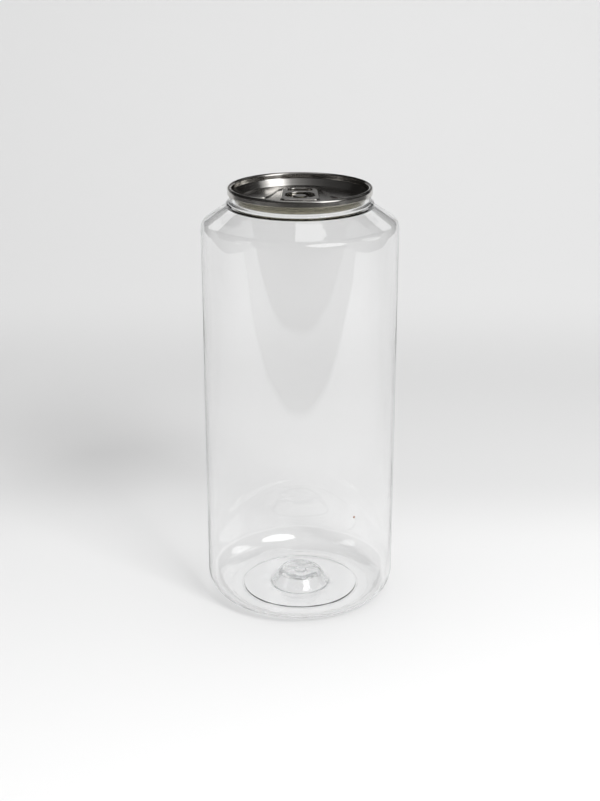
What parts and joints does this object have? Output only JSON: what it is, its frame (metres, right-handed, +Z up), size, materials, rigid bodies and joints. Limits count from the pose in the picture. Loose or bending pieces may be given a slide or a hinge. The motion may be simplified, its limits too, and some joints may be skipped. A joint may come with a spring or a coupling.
{
  "type": "clear plastic can with metal end",
  "caption": "Clear plastic drinks can, straight-walled and standing on a ring, shut by a seamed metal end with a stay-on tab; empty.",
  "frame": {"origin": "centre of the standing ring's plane, under the can's axis", "axes": "+Z up along the can's axis; -Y is the side of the pour opening and the tab's nose; +X is to the right seen from there"},
  "size_m": [0.075, 0.075, 0.1656],
  "materials": {
    "clear_plastic": "clear blown plastic, glossy inside and out",
    "end_metal": "bare rolled aluminium sheet, lacquered clear, with a fine rolling grain",
    "tab_metal": "bare rolled aluminium sheet, curled edges"
  },
  "bodies": {
    "root": {"can_body": "clear_plastic", "can_end": "end_metal", "tab": "tab_metal"}
  },
  "joints": []
}
